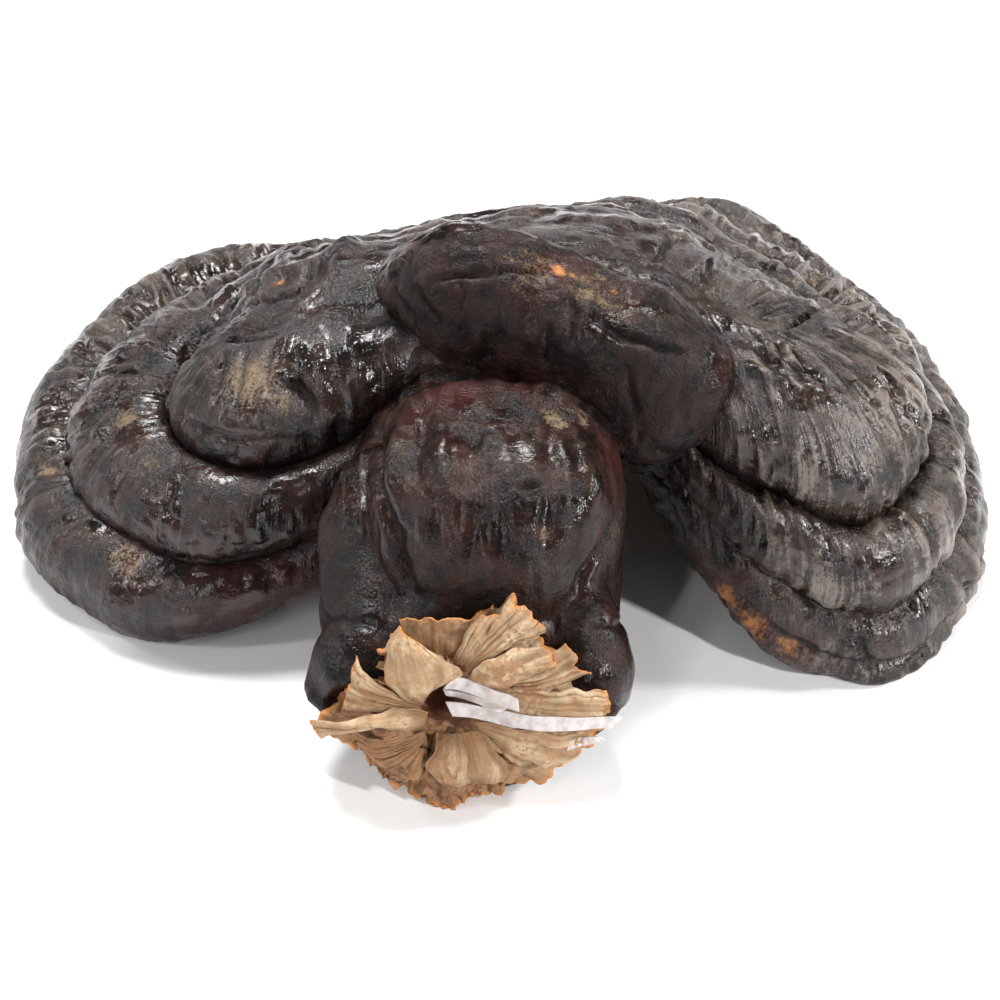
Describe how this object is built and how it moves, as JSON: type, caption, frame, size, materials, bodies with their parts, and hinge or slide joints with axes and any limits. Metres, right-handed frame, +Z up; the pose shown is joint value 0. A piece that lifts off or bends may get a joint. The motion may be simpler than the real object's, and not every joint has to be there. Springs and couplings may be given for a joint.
{
  "type": "dried reishi mushroom",
  "caption": "Dried black reishi lying on its underside: kidney-shaped cap of nested growth rolls, a brow lobe over the thick bent stem, and a torn papery foot with scraps of film.",
  "frame": {"origin": "on the surface that the mushroom rests on, under the middle of the whole part's box", "axes": "+Z up, +X along the cap's width towards its right lobe, -Y towards the torn foot of the stem"},
  "size_m": [0.2048, 0.1759, 0.0758],
  "materials": {
    "lacquered_skin": "wrinkled natural lacquer, dark purple-brown, patchy gloss, with a torn papery cream-tan face at the foot",
    "frosted_film": "frosted translucent film"
  },
  "bodies": {
    "root": {"reishi_body": "lacquered_skin", "film_wide": "frosted_film", "film_long": "frosted_film", "film_tail": "frosted_film"}
  },
  "joints": []
}
